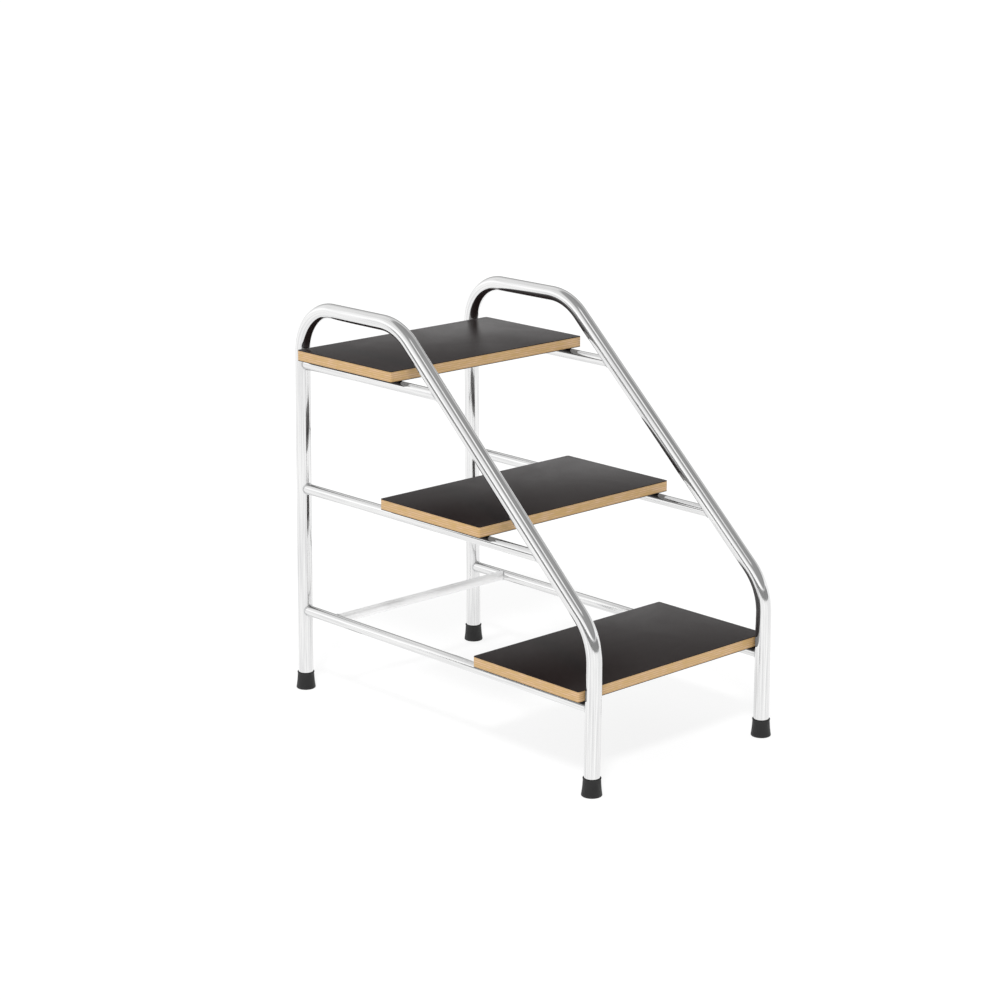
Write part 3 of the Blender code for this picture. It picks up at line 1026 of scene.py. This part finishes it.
for node in sorted(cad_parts):
    if not node.endswith("_foot"):
        continue
    side = "left" if "left" in node else "right"
    low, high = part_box(node)
    disc_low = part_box(node + "_disc")[0]
    sole_radius = (high.y - low.y) / 2
    outline = foot_outline(sole_radius, high.z, TUBE_RADIUS + SOCKET_GAP, disc_low.z - DISC_SEAT)
    foot = turned(outline, FOOT_SEGMENTS)
    bmesh.ops.translate(foot, vec=(0, (low.y + high.y) / 2, 0), verts=foot.verts)
    lean(foot, side)
    make_piece(node.replace("_foot", "_rubber_foot"), foot, rubber, [node])
    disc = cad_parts[node + "_disc"]
    disc.data.materials.clear()
    disc.data.materials.append(zinc)
    print(node, "is", round(2000 * sole_radius, 1), "mm across its sole")

# %% [markdown]
# ## Floor and light
#
# Bright tube shows nothing but what stands round it, so the studio is part of the finish. The floor is pale
# and glows a little. The front of the sky is light but for a dark ceiling with a narrow skylight, which
# together draw the long grey stripe on the sloping tubes. The back of the sky is dark where the treads
# reflect it. A soft sun from the front left lays the shadows and shows no glare, and a low dark band round
# the front is seen by reflections only.

# %% Floor
FLOOR_SIZE = 60.0

floor_shape = bmesh.new()
bmesh.ops.create_grid(floor_shape, x_segments=1, y_segments=1, size=FLOOR_SIZE / 2)
floor = new_object("floor", mesh_from("floor", floor_shape))
floor_material, *_ = new_material(
    "pale_floor", Base_Color=grey(0.24), Roughness=0.9, Specular_IOR_Level=0.0,
    Emission_Color=grey(1.0), Emission_Strength=0.82,
)
floor.data.materials.append(floor_material)
print("floor:", FLOOR_SIZE, "m square")

# %% World
# The ways to three parts of the sky, seen from the stool. Each part starts and ends where the product of its
# way with the line of sight reaches two values, and fades in between them.
BACK = (0.80, 0.60, 0.0)
BACK_FADE = (0.45, 0.96)
OVERHEAD = (0.10, -0.38, 0.92)  # the middle of the dark ceiling
OVERHEAD_FADE = (0.60, 0.70)
SKYLIGHT = (-0.26, -0.36, 0.896)
SKYLIGHT_FADE = (0.985, 0.995)
CEILING_LEVEL = 0.36
SKYLIGHT_LEVEL = 1.1


def sky_ramp(levels):
    """Brightness against height in the sky, from (height, level) pairs that start at 0 and end at 1."""
    node = add_node(sky, "ValToRGB", {"Fac": sky_parts.outputs["Z"]})
    for position, level in levels[1:-1]:
        node.color_ramp.elements.new(position)
    for element, (position, level) in zip(node.color_ramp.elements, levels):
        element.position = position
        element.color = grey(level)
    return node.outputs["Color"]


world = bpy.data.worlds.new("studio")
bpy.context.scene.world = world
world.use_nodes = True
sky = world.node_tree
sky_shader = sky.nodes["Background"]
sky_way = add_node(sky, "TexCoord").outputs["Generated"]
sky_parts = add_node(sky, "SeparateXYZ", {0: sky_way})
front_sky = sky_ramp([(0, 1.05), (0.26, 1.30), (0.44, 1.12), (0.60, 0.92), (0.80, 0.80), (1, 0.8)])
back_sky = sky_ramp(
    [(0, 0.95), (0.13, 1.05), (0.22, 0.42), (0.32, 0.10), (0.42, 0.26), (0.55, 0.48), (0.68, 0.75),
     (1, 0.7)]
)


def sky_share(way, start, end):
    """How far the line of sight has turned to a way: 0 where their product is start, 1 where it is end."""
    product = add_node(sky, "VectorMath", {0: sky_way, 1: way}, operation="DOT_PRODUCT")
    share = add_node(
        sky, "MapRange", {"Value": product.outputs["Value"], "From Min": start, "From Max": end}
    )
    return share.outputs["Result"]


ceiling = add_node(
    sky, "MixRGB",
    {"Fac": sky_share(SKYLIGHT, *SKYLIGHT_FADE), "Color1": grey(CEILING_LEVEL),
     "Color2": grey(SKYLIGHT_LEVEL)},
)
front = add_node(
    sky, "MixRGB",
    {"Fac": sky_share(OVERHEAD, *OVERHEAD_FADE), "Color1": front_sky, "Color2": ceiling.outputs["Color"]},
)
sky_colour = add_node(
    sky, "MixRGB",
    {"Fac": sky_share(BACK, *BACK_FADE), "Color1": front.outputs["Color"], "Color2": back_sky},
)
sky.links.new(sky_colour.outputs["Color"], sky_shader.inputs["Color"])
bpy.context.scene.view_settings.view_transform = "Standard"
print("sky:", len(sky.nodes), "nodes")

# %% Main light
LIGHT_WAY = Vector((0.46, 0.39, -0.79))  # the way that the light travels
LIGHT_STRENGTH = 1.5
LIGHT_WIDTH = 10  # degrees of sky that the light fills, which softens the shadows

sun = new_object("main_light", bpy.data.lights.new("main_light", "SUN"))
sun.data.energy = LIGHT_STRENGTH
sun.data.angle = math.radians(LIGHT_WIDTH)
sun.rotation_euler = LIGHT_WAY.to_track_quat("-Z", "Y").to_euler()
sun.visible_glossy = False

# %% Dark band
BAND_RADIUS = 2.0
BAND_HEIGHTS = (0.30, 0.78)
BAND_SEGMENTS = 96
OPEN_SIDE = Vector((0.69, 0.72, 0.0))

band_shape = bmesh.new()
bmesh.ops.create_cone(
    band_shape, cap_ends=False, segments=BAND_SEGMENTS, radius1=BAND_RADIUS, radius2=BAND_RADIUS,
    depth=BAND_HEIGHTS[1] - BAND_HEIGHTS[0], matrix=Matrix.Translation((0, 0, sum(BAND_HEIGHTS) / 2)),
)
behind = [vert for vert in band_shape.verts if vert.co.dot(OPEN_SIDE) > 0]
bmesh.ops.delete(band_shape, geom=behind, context="VERTS")
band = new_object("dark_band", mesh_from("dark_band", band_shape))
band_material, *_ = new_material("dark_band", Base_Color=grey(0.30), Roughness=1.0)
band.data.materials.append(band_material)
band.visible_camera = False
band.visible_diffuse = False
band.visible_shadow = False
print("band:", len(band.data.polygons), "faces round the front")

# %% [markdown]
# ## The finished pieces
#
# The lesson ends by counting the finished pieces.

# %% Piece count
print("pieces:", len(pieces))
